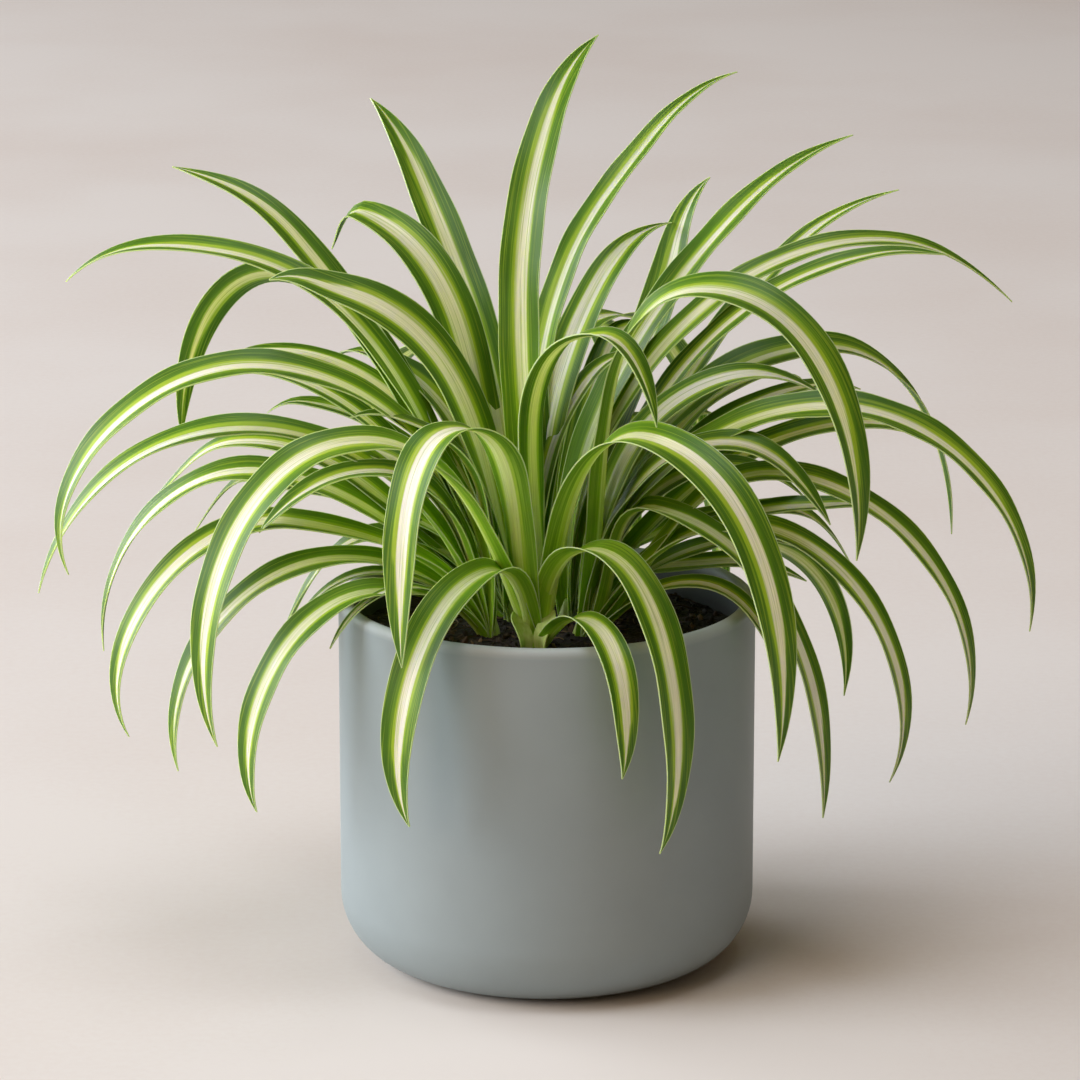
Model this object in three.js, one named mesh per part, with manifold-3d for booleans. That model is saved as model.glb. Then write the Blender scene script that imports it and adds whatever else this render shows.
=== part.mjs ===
// Potted spider plant: a round glazed pot filled with soil, and seven shoots of long arching leaves.
// The frame is in millimetres: the pot stands on z = 0 at the origin, and its front is towards -Y.
import * as THREE from "three";
import { mergeVertices } from "three/addons/utils/BufferGeometryUtils.js";
import Module from "manifold-3d";

const wasm = await Module();
wasm.setup();

// Pot
const POT_RADIUS = 90;
const POT_HEIGHT = 162;
const POT_WALL = 6.5;
const POT_FLOOR = 9;
const POT_CORNER = 30;
const POT_INNER_CORNER = 24;
const POT_SIDES = 48;
const CORNER_STEPS = 5;
const LIP_STEPS = 4;
const INNER_CORNER_STEPS = 2;

// Soil
const CLEARANCE = 0.3;
const SOIL_EDGE = 144;
const SOIL_MOUND = 4;
const SOIL_MOUND_RISE = 42;
const SOIL_LUMP = 0.9;
const SOIL_LUMP_RISE = 14;
const SOIL_LUMP_LENGTH = 21;
const SOIL_SWELL_LENGTH = 40;
const SOIL_RINGS = [14, 32, 50, 66];
const HOLE_DEPTH = 14;
const HOLE_OVERSHOOT = 20;

// Crown, the short pale stalk that the leaves of a shoot grow from
const CROWN_RADIUS = 8;
const CROWN_TOP = 158;
const CROWN_TOP_ROUNDING = 3;
const CROWN_FOOT_ROUNDING = 4;
const CROWN_SIDES = 8;

// Leaves
const ROOT_HEIGHT = 148;
const BLADE_THICKNESS = 0.8;
const STEP_LENGTH = 33;
const FEWEST_STEPS = 5;
const BASE_SHARE = 0.55;
const OPEN_AT = 0.38;
const OPENING_POWER = 0.5;
const POINT_FROM = 0.5;
const TIP_WIDTH = 1;
const TURNED_AT = 0.5;
const FOLD_AT_BASE = 42;
const FOLD_OF_BLADE = 13;
const UNFOLDED_AT = 0.4;
const TALLEST = 350;
const ROOT_SPREAD = 4;

const RAD = Math.PI / 180;

// A leaf lies in the upright plane of its azimuth, az, counted from +X towards +Y. It leaves the crown at
// the slope rise, passes its crest [out, up] at the slope level and ends at its tip [out, up] with the slope
// fall. Out is counted from the middle of the crown, and up from the surface that the pot stands on. Turn
// lifts the blade's left edge, bow makes the falling part fuller, and a leaf with a high point narrows late.
const USUAL = { rise: 80, level: 0, fall: -100, bow: 0.38, wide: 18, turn: 0, point: 4 };

// Each shoot stands at [x, y] on the soil.
const SHOOTS = {
  shoot_front: {
    at: [-4, -36],
    leaves: [
      { az: -132, crest: [48, 253], tip: [84, 157], rise: 68, level: 8, fall: -95, wide: 21 },
      { az: -132, crest: [30, 189], tip: [80, 87], rise: 78, fall: -120, wide: 20, turn: -8, point: 3 },
      { az: -156, crest: [84, 247], tip: [146, 122], rise: 70, fall: -110, wide: 21, turn: -18 },
      { az: -38, crest: [60, 249], tip: [126, 121], rise: 78, level: -5, wide: 23, turn: 15, point: 3 },
      { az: -36, crest: [31, 289], tip: [61, 253], rise: 86, level: 8, wide: 18, fall: -80 },
      { az: -49, crest: [34, 199], tip: [78, 75], rise: 92, level: 8, fall: -120, wide: 20, point: 2.6 },
      { az: -62, crest: [50, 171], tip: [75, 110], rise: 48, level: -6, fall: -112, wide: 15, point: 2.8 },
    ],
  },
  shoot_middle: {
    at: [-6, -8],
    leaves: [
      { az: 68, crest: [9, 360], tip: [75, 395], rise: 86, level: 50, fall: 10, wide: 19, point: 3 },
      { az: 52, crest: [51, 332], tip: [146, 371], rise: 94, level: 34, fall: 2, wide: 14, point: 3 },
      { az: 55, crest: [48, 291], tip: [106, 309], rise: 90, level: 42, fall: -6, wide: 19, point: 3 },
      { az: 178, crest: [81, 297], tip: [112, 301], rise: 72, level: 16, fall: -22, wide: 23, turn: -38 },
      { az: 98, crest: [24, 268], tip: [60, 299], rise: 92, level: 62, fall: 25, wide: 18 },
      { az: 24, crest: [25, 256], tip: [49, 266], rise: 90, level: 50, fall: -5, wide: 19 },
    ],
  },
  shoot_left: {
    at: [-24, -17],
    leaves: [
      { az: 186, crest: [103, 270], tip: [180, 180], rise: 101, fall: -112, wide: 20, turn: -20 },
      { az: 177, crest: [103, 239], tip: [195, 164], fall: -76, wide: 19, turn: -15 },
      { az: 188, crest: [86, 202], tip: [156, 109], rise: 76, level: 10, fall: -118, wide: 18, turn: -20 },
      { az: 184, crest: [63, 184], tip: [135, 90], rise: 64, fall: -103, wide: 18, turn: -20 },
      { az: 200, crest: [49, 173], tip: [106, 80], rise: 62, level: 5, fall: -111, wide: 17, turn: -20 },
      { az: 175, crest: [45, 175], tip: [87, 144], rise: 62, level: 4, fall: -71, wide: 9, turn: -10 },
      { az: 205, crest: [42, 174], tip: [75, 151], rise: 50, fall: -60, wide: 7 },
      { az: 188, crest: [29, 241], tip: [60, 246], rise: 91, level: 24, fall: -20, wide: 20 },
      { az: 164, crest: [58, 227], tip: [92, 217], rise: 84, level: 5, fall: -40, wide: 15, turn: -12 },
      { az: 192, crest: [48, 224], tip: [100, 199], rise: 84, level: 5, fall: -50, wide: 16, turn: -15 },
    ],
  },
  shoot_right: {
    at: [15, -18],
    leaves: [
      { az: -24, crest: [61, 306], tip: [125, 195], rise: 78, fall: -98, wide: 23, turn: 18 },
      { az: -20, crest: [34, 208], tip: [109, 78], rise: 55, level: -10, fall: -94, wide: 18, turn: 10 },
      { az: 0, crest: [105, 250], tip: [192, 150], rise: 90, fall: -98, wide: 19, turn: 24 },
      { az: -2, crest: [85, 221], tip: [165, 110], rise: 45, level: -6, fall: -103, wide: 17, turn: 22 },
      { az: 7, crest: [97, 203], tip: [131, 195], rise: 68, fall: -60, wide: 15, turn: 12 },
      { az: -8, crest: [66, 200], tip: [133, 88], rise: 60, level: 3, fall: -115, wide: 17, turn: 20 },
      { az: -12, crest: [48, 175], tip: [86, 138], rise: 40, level: 2, fall: -75, wide: 13, turn: 12 },
      { az: 19, crest: [60, 256], tip: [114, 242], rise: 88, level: 14, fall: -40, wide: 20, turn: 10 },
      { az: -12, crest: [60, 237], tip: [107, 203], rise: 86, level: 5, fall: -60, wide: 19, turn: 14 },
      { az: 12, crest: [55, 220], tip: [98, 204], rise: 82, level: 6, fall: -45, wide: 19, turn: 10 },
      { az: 15, crest: [71, 187], tip: [113, 167], rise: 62, level: 5, fall: -50, wide: 14, turn: 8 },
    ],
  },
  shoot_back_left: {
    at: [-15, 11],
    leaves: [
      { az: 116, crest: [84, 319], tip: [146, 353], rise: 97, level: 40, fall: 13, wide: 21, point: 3 },
      { az: 143, crest: [82, 318], tip: [99, 299], rise: 74, level: 10, fall: -60, wide: 22, turn: -22 },
      { az: 154, crest: [103, 306], tip: [166, 333], rise: 64, level: 45, fall: 8, wide: 19, turn: -14 },
      { az: 165, crest: [129, 304], tip: [202, 286], rise: 65, level: 6, fall: -45, wide: 18, turn: -15 },
      { az: 150, crest: [115, 288], tip: [171, 207], rise: 58, level: 4, fall: -91, wide: 16, turn: 46 },
      { az: 154, crest: [116, 256], tip: [141, 248], rise: 84, level: -4, fall: -40, wide: 14, turn: -15 },
      { az: 169, crest: [120, 254], tip: [143, 246], rise: 60, fall: -70, wide: 15, turn: -12 },
      { az: 158, crest: [97, 236], tip: [116, 229], rise: 78, level: 2, fall: -40, wide: 12, turn: -15 },
      { az: 158, crest: [132, 215], tip: [176, 181], rise: 38, level: -10, fall: -40, wide: 14, turn: -20 },
      { az: 168, crest: [110, 208], tip: [185, 122], rise: 38, level: 5, fall: -96, wide: 19, turn: -20 },
      { az: 153, crest: [122, 197], tip: [160, 167], rise: 70, level: 5, fall: -55, wide: 13, turn: -18 },
      { az: 160, crest: [60, 181], tip: [115, 116], rise: 52, level: -9, fall: -62, wide: 15, turn: -18 },
      { az: 144, crest: [66, 254], tip: [98, 250], rise: 82, level: 14, fall: -40, wide: 20 },
      { az: 112, crest: [44, 256], tip: [84, 258], rise: 90, level: 40, fall: -20, wide: 18 },
    ],
  },
  shoot_back_right: {
    at: [9, 9],
    leaves: [
      { az: 19, crest: [135, 307], tip: [207, 274], rise: 96, fall: -44, wide: 16, turn: 15 },
      { az: 10, crest: [134, 305], tip: [167, 303], rise: 78, level: 8, fall: -10, wide: 15, turn: 16 },
      { az: 39, crest: [78, 304], tip: [163, 342], rise: 100, level: 38, fall: 8, wide: 19, point: 3 },
      { az: 43, crest: [133, 291], tip: [205, 310], rise: 60, level: 30, fall: 3, wide: 14, point: 3 },
      { az: 54, crest: [79, 299], tip: [107, 326], rise: 96, level: 68, fall: 18, wide: 20, point: 3 },
      { az: 25, crest: [125, 258], tip: [190, 165], level: -6, fall: -88, wide: 20, turn: 18 },
      { az: 14, crest: [127, 229], tip: [177, 211], rise: 52, level: 2, fall: -30, wide: 17, turn: 18 },
      { az: 24, crest: [97, 188], tip: [139, 155], rise: 72, fall: -63, wide: 13, turn: 18 },
      { az: 30, crest: [95, 170], tip: [144, 92], rise: 43, level: -8, wide: 18, turn: -25, point: 2 },
      { az: 31, crest: [102, 245], tip: [122, 235], rise: 56, level: 2, fall: -84, wide: 17 },
      { az: 66, crest: [46, 258], tip: [86, 262], rise: 90, level: 40, fall: -20, wide: 18 },
      { az: 44, crest: [66, 226], tip: [104, 216], rise: 84, level: 12, fall: -40, wide: 18 },
      { az: 10, crest: [66, 171], tip: [106, 160], rise: 74, level: 2, fall: -30, wide: 15, turn: 15 },
      { az: 12, crest: [102, 246], tip: [130, 244], rise: 62, level: 10, fall: -20, wide: 15, turn: 12 },
    ],
  },
  shoot_back: { at: [-2, 31], leaves: [] },
};

// The far side of the plant follows a rule: tiers of leaves, each spread over a range of azimuths.
const FAR_SHOOT = "shoot_back";
const FAR_TIERS = [
  { from: 58, to: 124, count: 5, crest: [54, 262], tip: [138, 186], wide: 18 },
  { from: 48, to: 120, count: 4, crest: [58, 216], tip: [126, 118], wide: 17 },
  { from: 66, to: 112, count: 3, crest: [48, 178], tip: [98, 88], wide: 15 },
];
const FAR_SEED = 7;
const FAR_SPREAD = 8;

const GLAZE = new THREE.MeshStandardMaterial({ color: 0x8f9796, roughness: 0.45, metalness: 0 });
const EARTH = new THREE.MeshStandardMaterial({ color: 0x2b2019, roughness: 1, metalness: 0 });
const LEAF = new THREE.MeshStandardMaterial({ color: 0x5f8a2c, roughness: 0.55, metalness: 0 });

function solidFrom(geometry) {
  const bare = geometry.clone();
  bare.deleteAttribute("normal");
  bare.deleteAttribute("uv");
  const merged = mergeVertices(bare, 1e-4);
  const mesh = new wasm.Mesh({
    numProp: 3,
    vertProperties: Float32Array.from(merged.attributes.position.array),
    triVerts: Uint32Array.from(merged.index.array),
  });
  return new wasm.Manifold(mesh);
}

// The largest body of a solid, with loose scraps dropped and sealed hollows filled.
function largestBody(solid) {
  const bodies = solid.decompose();
  return bodies.reduce((best, body) => (body.volume() > best.volume() ? body : best));
}

function geometryFrom(solid) {
  const mesh = solid.getMesh();
  const geometry = new THREE.BufferGeometry();
  geometry.setAttribute("position", new THREE.BufferAttribute(mesh.vertProperties, 3));
  geometry.setIndex(new THREE.BufferAttribute(mesh.triVerts, 1));
  geometry.computeVertexNormals();
  return geometry;
}

function arc(centreX, centreY, radius, fromDeg, toDeg, steps) {
  return Array.from({ length: steps + 1 }, (_, i) => {
    const angle = (fromDeg + ((toDeg - fromDeg) * i) / steps) * RAD;
    return new THREE.Vector2(centreX + radius * Math.cos(angle), centreY + radius * Math.sin(angle));
  });
}

function lathe(profile, sides) {
  const geometry = new THREE.LatheGeometry(profile, sides);
  geometry.rotateX(Math.PI / 2);
  return geometry;
}

function makePot() {
  const corner = POT_INNER_CORNER;
  const innerRadius = POT_RADIUS - POT_WALL;
  const lip = POT_WALL / 2;
  const profile = [
    new THREE.Vector2(0, 0),
    ...arc(POT_RADIUS - POT_CORNER, POT_CORNER, POT_CORNER, -90, 0, CORNER_STEPS),
    ...arc(POT_RADIUS - lip, POT_HEIGHT - lip, lip, 0, 180, LIP_STEPS),
    ...arc(innerRadius - corner, POT_FLOOR + corner, corner, 0, -90, INNER_CORNER_STEPS),
    new THREE.Vector2(0, POT_FLOOR),
  ];
  return lathe(profile, POT_SIDES);
}

// The soil is level at the wall, rises to a flat mound and has low lumps on it.
function soilHeight(x, y) {
  const inward = POT_RADIUS - POT_WALL - Math.hypot(x, y);
  const mound = SOIL_MOUND * Math.min(1, inward / SOIL_MOUND_RISE);
  const wave = (distance, length) => Math.sin((2 * Math.PI * distance) / length);
  const lumps = wave(x, SOIL_LUMP_LENGTH) * wave(y, SOIL_LUMP_LENGTH) + wave(x - y, SOIL_SWELL_LENGTH);
  return SOIL_EDGE + mound + SOIL_LUMP * lumps * Math.min(1, inward / SOIL_LUMP_RISE);
}

function makeSoil() {
  const radius = POT_RADIUS - POT_WALL - CLEARANCE;
  const corner = POT_INNER_CORNER;
  const bottom = POT_FLOOR + CLEARANCE;
  const profile = [
    new THREE.Vector2(0, bottom),
    ...arc(radius - corner, bottom + corner, corner, -90, 0, INNER_CORNER_STEPS),
    new THREE.Vector2(radius, SOIL_EDGE),
    ...SOIL_RINGS.toReversed().map((ring) => new THREE.Vector2(ring, SOIL_EDGE)),
    new THREE.Vector2(0, SOIL_EDGE),
  ];
  const geometry = lathe(profile, POT_SIDES);
  const place = geometry.attributes.position;
  for (let i = 0; i < place.count; i++) {
    const onTop = Math.abs(place.getZ(i) - SOIL_EDGE) < 1e-6;
    if (onTop) place.setZ(i, soilHeight(place.getX(i), place.getY(i)));
  }
  const holes = Object.values(SHOOTS).map(({ at }) => solidFrom(holeGeometry(at)));
  return geometryFrom(holes.reduce((soil, hole) => soil.subtract(hole), solidFrom(geometry)));
}

function holeGeometry([x, y]) {
  const height = HOLE_DEPTH + HOLE_OVERSHOOT;
  const geometry = new THREE.CylinderGeometry(
    CROWN_RADIUS + CLEARANCE,
    CROWN_RADIUS + CLEARANCE,
    height,
    CROWN_SIDES,
  );
  geometry.rotateX(Math.PI / 2);
  return geometry.translate(x, y, SOIL_EDGE - HOLE_DEPTH + height / 2);
}

function crownGeometry([x, y]) {
  const foot = SOIL_EDGE - HOLE_DEPTH + CLEARANCE;
  const profile = [
    new THREE.Vector2(0, foot),
    new THREE.Vector2(CROWN_RADIUS - CROWN_FOOT_ROUNDING, foot),
    new THREE.Vector2(CROWN_RADIUS, foot + CROWN_FOOT_ROUNDING),
    new THREE.Vector2(CROWN_RADIUS, ROOT_HEIGHT),
    new THREE.Vector2(CROWN_RADIUS - CROWN_TOP_ROUNDING, CROWN_TOP - CROWN_TOP_ROUNDING),
    new THREE.Vector2(0, CROWN_TOP),
  ];
  return lathe(profile, CROWN_SIDES).translate(x, y, 0);
}

function direction(degrees) {
  return new THREE.Vector2(Math.cos(degrees * RAD), Math.sin(degrees * RAD));
}

// A cubic curve between two points [out, up] with the slopes given at its ends.
function bend(from, to, slopeFrom, slopeTo, fullness = USUAL.bow) {
  const handle = fullness * from.distanceTo(to);
  return new THREE.CubicBezierCurve(
    from,
    from.clone().addScaledVector(direction(slopeFrom), handle),
    to.clone().addScaledVector(direction(slopeTo), -handle),
    to,
  );
}

// Width along the leaf as a share of its full width: a narrow base, a broad middle and a long point.
function widthShare(t, point) {
  const opening = BASE_SHARE + (1 - BASE_SHARE) * Math.min(1, t / OPEN_AT) ** OPENING_POWER;
  const pointing = 1 - (Math.max(0, t - POINT_FROM) / (1 - POINT_FROM)) ** point;
  return opening * pointing;
}

// The cut across a blade: its two edges raised above the midrib, each point once above and once below.
function bladeSection(leaf, at, curve, t) {
  const spot = curve.getPointAt(t);
  const slope = curve.getTangentAt(t);
  const outward = direction(leaf.az);
  const [x, y] = at;
  const middle = new THREE.Vector3(x + outward.x * spot.x, y + outward.y * spot.x, spot.y);
  const along = new THREE.Vector3(outward.x * slope.x, outward.y * slope.x, slope.y);
  const side = new THREE.Vector3(-outward.y, outward.x, 0);
  side.applyAxisAngle(along, leaf.turn * RAD * Math.min(1, t / TURNED_AT));
  const up = new THREE.Vector3().crossVectors(along, side);
  const half = Math.max(TIP_WIDTH, leaf.wide * widthShare(t, leaf.point)) / 2;
  const folded = Math.max(0, 1 - t / UNFOLDED_AT);
  const fold = (FOLD_OF_BLADE + (FOLD_AT_BASE - FOLD_OF_BLADE) * folded) * RAD;
  const lift = (half * Math.sin(fold)) / 2;
  const raise = (point, amount) => point.clone().addScaledVector(up, amount);
  const edge = (sign) => raise(middle, lift).addScaledVector(side, sign * half * Math.cos(fold));
  const line = [edge(1), raise(middle, -lift), edge(-1)];
  return [
    ...line.map((point) => raise(point, BLADE_THICKNESS / 2)),
    ...line.toReversed().map((point) => raise(point, -BLADE_THICKNESS / 2)),
  ];
}

// Joins the cuts of a blade into one closed skin, with its squares split alike above and below.
function skin(sections) {
  const size = sections[0].length;
  const faces = [];
  for (let s = 0; s + 1 < sections.length; s++) {
    for (let k = 0; k < size; k++) {
      const a = s * size + k;
      const b = s * size + ((k + 1) % size);
      const above = k < size / 2;
      if (above) faces.push(a, b, b + size, a, b + size, a + size);
      else faces.push(a, b, a + size, b, b + size, a + size);
    }
  }
  const cap = [0, 1, 4, 0, 4, 5, 1, 2, 3, 1, 3, 4];
  const last = (sections.length - 1) * size;
  faces.push(...cap.toReversed(), ...cap.map((k) => last + k));
  const geometry = new THREE.BufferGeometry().setFromPoints(sections.flat());
  geometry.setIndex(faces);
  return geometry;
}

function leafCurve(leaf) {
  const lowness = (TALLEST - leaf.crest[1]) / (TALLEST - ROOT_HEIGHT);
  const root = new THREE.Vector2(ROOT_SPREAD * lowness, ROOT_HEIGHT);
  const crest = new THREE.Vector2(...leaf.crest);
  const tip = new THREE.Vector2(...leaf.tip);
  const curve = new THREE.CurvePath();
  curve.add(bend(root, crest, leaf.rise, leaf.level));
  curve.add(bend(crest, tip, leaf.level, leaf.fall, leaf.bow));
  return curve;
}

function leafGeometry(given, at) {
  const leaf = { ...USUAL, ...given };
  const curve = leafCurve(leaf);
  const steps = Math.max(FEWEST_STEPS, Math.round(curve.getLength() / STEP_LENGTH));
  const sections = Array.from({ length: steps + 1 }, (_, i) => bladeSection(leaf, at, curve, i / steps));
  return skin(sections);
}

// Seeded random numbers from 0 to 1, by Lehmer's rule.
function randomFrom(seed) {
  const factor = 16807;
  const prime = 2 ** 31 - 1;
  let state = seed;
  return () => {
    state = (state * factor) % prime;
    return state / prime;
  };
}

function farLeaves() {
  const random = randomFrom(FAR_SEED);
  const about = (value, spread) => value + (random() - 0.5) * 2 * spread;
  return FAR_TIERS.flatMap(({ from, to, count, crest, tip, wide }) =>
    Array.from({ length: count }, (_, i) => ({
      az: from + ((to - from) * i) / Math.max(1, count - 1),
      crest: [about(crest[0], FAR_SPREAD), about(crest[1], FAR_SPREAD)],
      tip: [about(tip[0], FAR_SPREAD), about(tip[1], FAR_SPREAD)],
      wide,
    })),
  );
}

function makeShoot(name) {
  const { at, leaves } = SHOOTS[name];
  const all = name === FAR_SHOOT ? farLeaves() : leaves;
  const blades = all.map((leaf) => solidFrom(leafGeometry(leaf, at)));
  return geometryFrom(largestBody(wasm.Manifold.union([solidFrom(crownGeometry(at)), ...blades])));
}

function named(name, geometry, material) {
  const mesh = new THREE.Mesh(geometry, material);
  mesh.name = name;
  return mesh;
}

const plant = new THREE.Group();
plant.name = "potted_spider_plant";
plant.add(named("pot", makePot(), GLAZE));
plant.add(named("soil", makeSoil(), EARTH));
for (const name of Object.keys(SHOOTS)) {
  plant.add(named(name, makeShoot(name), LEAF));
}

export default plant;
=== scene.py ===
"""Potted spider plant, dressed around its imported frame: a glazed pot, potting soil and variegated leaves.

Lengths in the tables are in millimetres, as in the part's source, and MM turns them to metres. The pot stands
on z = 0 at the origin and its front is towards -Y.
"""

import math
from functools import partial

import bmesh
import bpy
import numpy as np
from mathutils import Euler, Matrix, Vector, noise


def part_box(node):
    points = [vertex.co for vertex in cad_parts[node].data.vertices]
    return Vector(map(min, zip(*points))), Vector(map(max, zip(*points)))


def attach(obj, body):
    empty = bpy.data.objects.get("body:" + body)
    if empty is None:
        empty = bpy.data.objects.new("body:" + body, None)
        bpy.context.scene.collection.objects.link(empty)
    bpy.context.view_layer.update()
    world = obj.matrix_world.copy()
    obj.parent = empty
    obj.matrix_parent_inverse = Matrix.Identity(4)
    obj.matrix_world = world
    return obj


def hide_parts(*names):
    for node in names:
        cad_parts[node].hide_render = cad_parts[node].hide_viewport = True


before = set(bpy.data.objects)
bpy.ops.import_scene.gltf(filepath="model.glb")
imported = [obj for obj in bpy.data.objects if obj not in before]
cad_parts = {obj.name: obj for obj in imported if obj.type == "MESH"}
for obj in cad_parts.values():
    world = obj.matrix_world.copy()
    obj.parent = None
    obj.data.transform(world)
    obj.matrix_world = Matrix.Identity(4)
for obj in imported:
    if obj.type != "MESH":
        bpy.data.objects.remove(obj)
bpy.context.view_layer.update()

bl_info = {
    "name": "Potted Spider Plant",
    "version": (1, 0, 0),
    "blender": (4, 5, 0),
    "location": "View3D > Sidebar > Spider Plant",
    "description": "Builds a variegated spider plant in a glazed pot, with its soil and a studio stage",
    "category": "Add Mesh",
}

MM = 0.001
MERGED = 0.01 * MM
BODY = "root"

# Pot and soil, read from the frame, in metres
POT_RADIUS, _, POT_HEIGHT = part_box("pot")[1]
SOIL_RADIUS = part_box("soil")[1][0]

# Share of half the wall that each rounding of the lip takes
LIP_SHARE = 0.98

# The filling of soil: a rounded foot, an edge level at the wall and a low mound
SOIL_EDGE = 144
SOIL_MOUND = 4
SOIL_MOUND_RISE = 42
SOIL_FOOT = 9.3
SOIL_CORNER = 24
SOIL_CORNER_STEPS = 6

# Clods, crumbs and grit of its surface, each with its width, its height and its layer of the noise
SOIL_LUMPS = [(15, 1.6, 3.0), (4.5, 1.1, 9.0), (1.8, 0.5, 5.0)]

# Loose bits: a random share of the range is added to the least size, and the margin keeps them off the wall.
BIT_MARGIN = 3
CRUMB_LEAST, CRUMB_RANGE = 0.5, 1.5
CRUMB_UNEVENNESS = 0.5
CRUMB_FLATNESS = 0.7
CRUMB_LIFT = FIBRE_LIFT = 0.2
FIBRE_MARGIN = 1
FIBRE_LEAST, FIBRE_RANGE = 6, 14
FIBRE_THIN, FIBRE_THICKER = 0.18, 0.3
FIBRE_CURL = 2.6
FIBRE_ARCH = 2.2
FIBRE_CUTS = 6
PALEST_FROM = 0.35

# Crowns, the short pale stalks that the leaves of a shoot grow from, with their width at some heights
CROWN_RADIUS = 8
CROWN_FOOT = 130.3
CROWN_TOP = 157
CROWN_LEVELS = [(CROWN_FOOT, 0.5), (140, 0.62), (147, 0.56), (151, 0.42), (155, 0.28), (CROWN_TOP, 0.15)]
CROWN_SIDES = 28
CROWN_CUTS = 14
CROWN_FOLDS = 5
CROWN_FOLD_DEPTH = 0.07
CROWN_FOLD_TWIST = 1 / 3

# Leaves: where they start, how they open, turn, unfold and come to a point, and the fineness of their mesh
ROOT_HEIGHT = 148
ROOT_SPREAD = 4
SUNK = 6
TALLEST = 350
BASE_SHARE = 0.55
OPEN_AT = 0.38
OPENING_POWER = 0.5
POINT_FROM = 0.5
TIP_WIDTH = 0.5
TURNED_AT = 0.5
FOLD_AT_BASE = 42
FOLD_OF_BLADE = 13
UNFOLDED_AT = 0.4
CHANNEL_POWER = 1.25
ACROSS_CELLS = 14
ALONG_CELL = 4
ALONG_LEAST = 16
CURVE_SAMPLES = 160
WAVE_LEAST, WAVE_RANGE = 38, 26

# Leaf pattern: streaks are about 80 times as long as wide, each leaf has its own part of the noise, and the
# cream takes most of the pale band.
STREAK_STRETCH = 0.012
LEAVES_APART = 40.0
SECOND_LOT = 7.0
CREAM_SHARE = 0.7
VEIN_SPACING = 0.8

# Smooth shading ends where two faces meet at more than this many degrees.
POT_CREASE = 35
LEAF_CREASE = 50
SOIL_CREASE = CROWN_CREASE = 60

# Height in metres that the lights are aimed at, and how far the camera sees
LIT_HEIGHT = 0.2
VIEW_END = 30

# What a leaf has where its own line doesn't say otherwise
USUAL = dict(rise=80, level=0, fall=-100, bow=0.38, wide=18, turn=0, point=4)


def leaf(azimuth, crest, tip, **own):
    """A leaf in the upright plane of its azimuth, in degrees from +X towards +Y.

    It leaves the crown at the slope rise, passes its crest [out, up] at the slope level and ends at its tip
    [out, up] with the slope fall. Turn lifts the blade's left edge, bow makes the falling part fuller, and a
    leaf with a high point narrows late.
    """
    return {**USUAL, "azimuth": azimuth, "crest": crest, "tip": tip, **own}


# Each shoot stands at [x, y] on the soil.
SHOOTS = {
    "shoot_front": [-4, -36],
    "shoot_middle": [-6, -8],
    "shoot_left": [-24, -17],
    "shoot_right": [15, -18],
    "shoot_back_left": [-15, 11],
    "shoot_back_right": [9, 9],
    "shoot_back": [-2, 31],
}

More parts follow.
